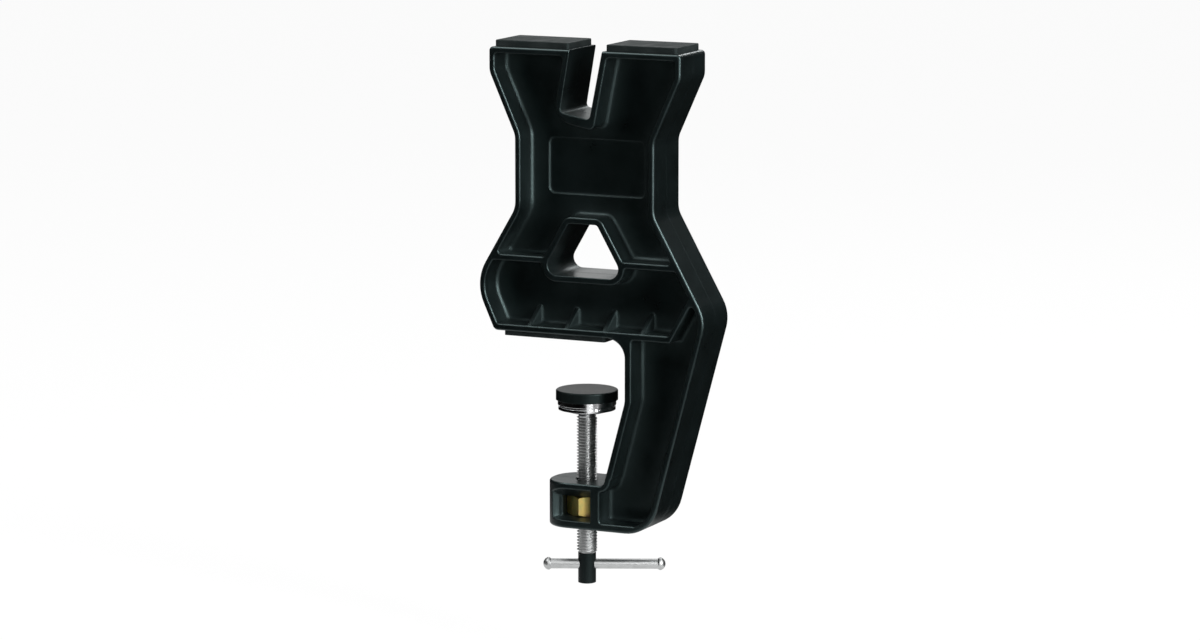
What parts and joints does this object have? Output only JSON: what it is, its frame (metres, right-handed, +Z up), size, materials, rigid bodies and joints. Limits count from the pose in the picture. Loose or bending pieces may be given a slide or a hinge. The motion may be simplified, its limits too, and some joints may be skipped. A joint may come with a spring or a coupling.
{
  "type": "ski tuning vise",
  "caption": "Moulded C-clamp ski vise with rubber rests, a leaning edge slot, a clamp screw with swivelling foot and a sliding bar handle.",
  "frame": {"origin": "where the clamp screw's axis meets the jaw's contact face, which lies on the bench top", "axes": "+Z up along the clamp screw; the throat opens towards -X and the arm stands on +X; Y runs along the ski"},
  "size_m": [0.1194, 0.0328, 0.2668],
  "materials": {
    "moulded_nylon": "satin black, glass-filled moulding",
    "rest_rubber": "matt dark rubber",
    "jaw_rubber": "matt dark rubber",
    "yellow_zinc_steel": "yellow-passivated zinc",
    "bright_zinc_steel": "bright zinc plate",
    "washer_steel": "bright zinc plate",
    "dish_chrome": "turned and plated, bright",
    "cap_plastic": "satin black cap",
    "sleeve_plastic": "satin black sleeve",
    "bar_steel": "bright zinc plate"
  },
  "bodies": {
    "vise_frame": {"frame": "moulded_nylon", "top_rest_left": "rest_rubber", "top_rest_right": "rest_rubber", "jaw_pad": "jaw_rubber", "clamp_nut": "yellow_zinc_steel"},
    "foot": {"swivel_dish": "dish_chrome", "pad_cap": "cap_plastic"},
    "screw": {"clamp_screw": "bright_zinc_steel", "retaining_washer": "washer_steel", "screw_sleeve": "sleeve_plastic"},
    "handle": {"tommy_bar": "bar_steel"}
  },
  "joints": [
    {"name": "pad_travel", "type": "slide", "parent": "vise_frame", "child": "foot", "axis": [0, 0, 1], "range_m": [-0.0318, 0.0165]},
    {"name": "screw_turn", "type": "hinge", "parent": "foot", "child": "screw", "pos_m": [0, 0, -0.083], "axis": [0, 0, 1], "range_deg": [-7620, 3950]},
    {"name": "bar_slide", "type": "slide", "parent": "screw", "child": "handle", "axis": [0.9135, 0.4067, 0], "range_m": [-0.0301, 0.0131]}
  ],
  "couplings": [
    {"joint": "pad_travel", "follows": "screw_turn", "m_per_rad": 0.00023873}
  ]
}
